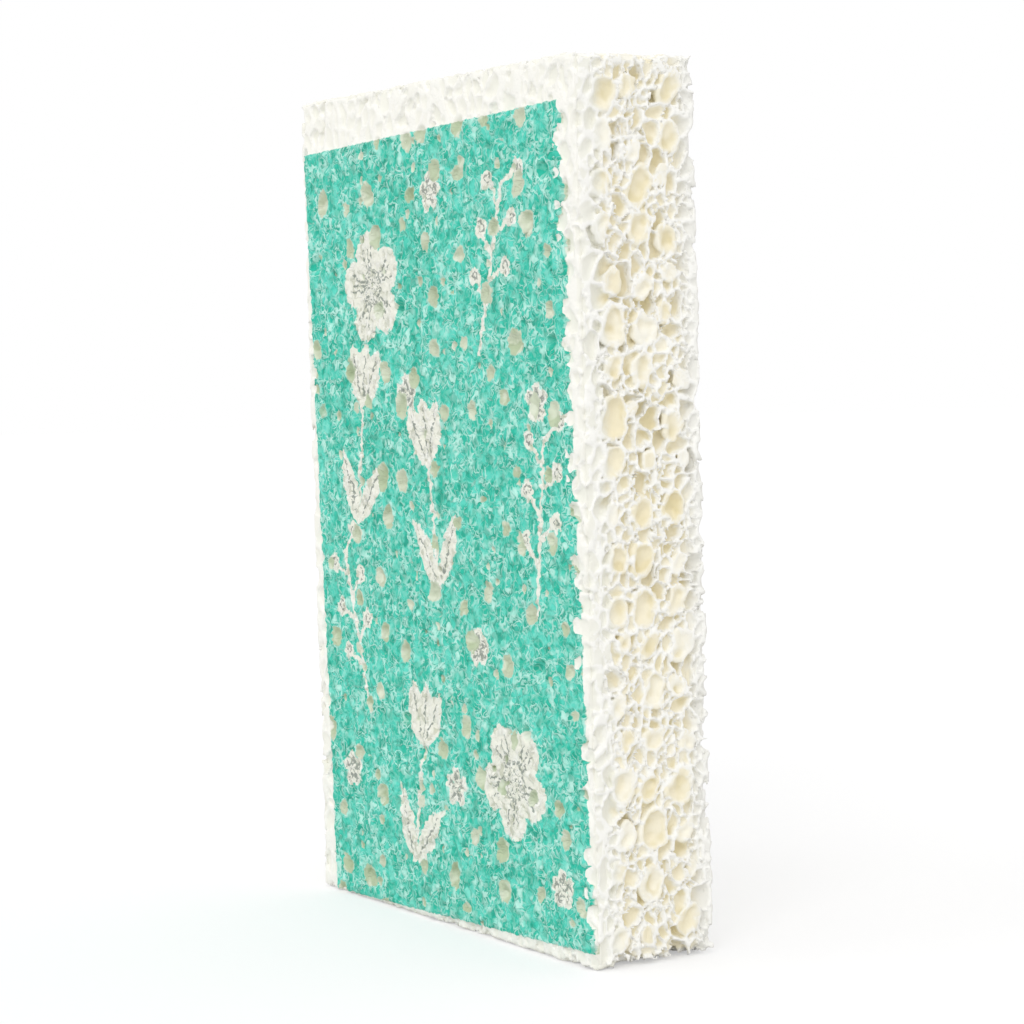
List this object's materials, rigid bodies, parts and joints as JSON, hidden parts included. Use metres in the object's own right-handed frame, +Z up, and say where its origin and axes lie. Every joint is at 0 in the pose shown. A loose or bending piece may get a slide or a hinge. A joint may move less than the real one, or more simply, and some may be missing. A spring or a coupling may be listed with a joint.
{
  "type": "cleaning sponge",
  "caption": "Upright rectangular block of open-celled cellulose sponge with a printed wide face, bare cut sides and a flat end to stand on.",
  "frame": {"origin": "middle of the short end that the block stands on", "axes": "+Z up along the length of the block, +X along the width of the printed face, -Y out of the printed face"},
  "size_m": [0.07, 0.018, 0.11],
  "materials": {
    "cellulose": "matte, open-celled, printed turquoise on the wide face that looks along -Y"
  },
  "bodies": {
    "root": {"sponge": "cellulose"}
  },
  "joints": []
}
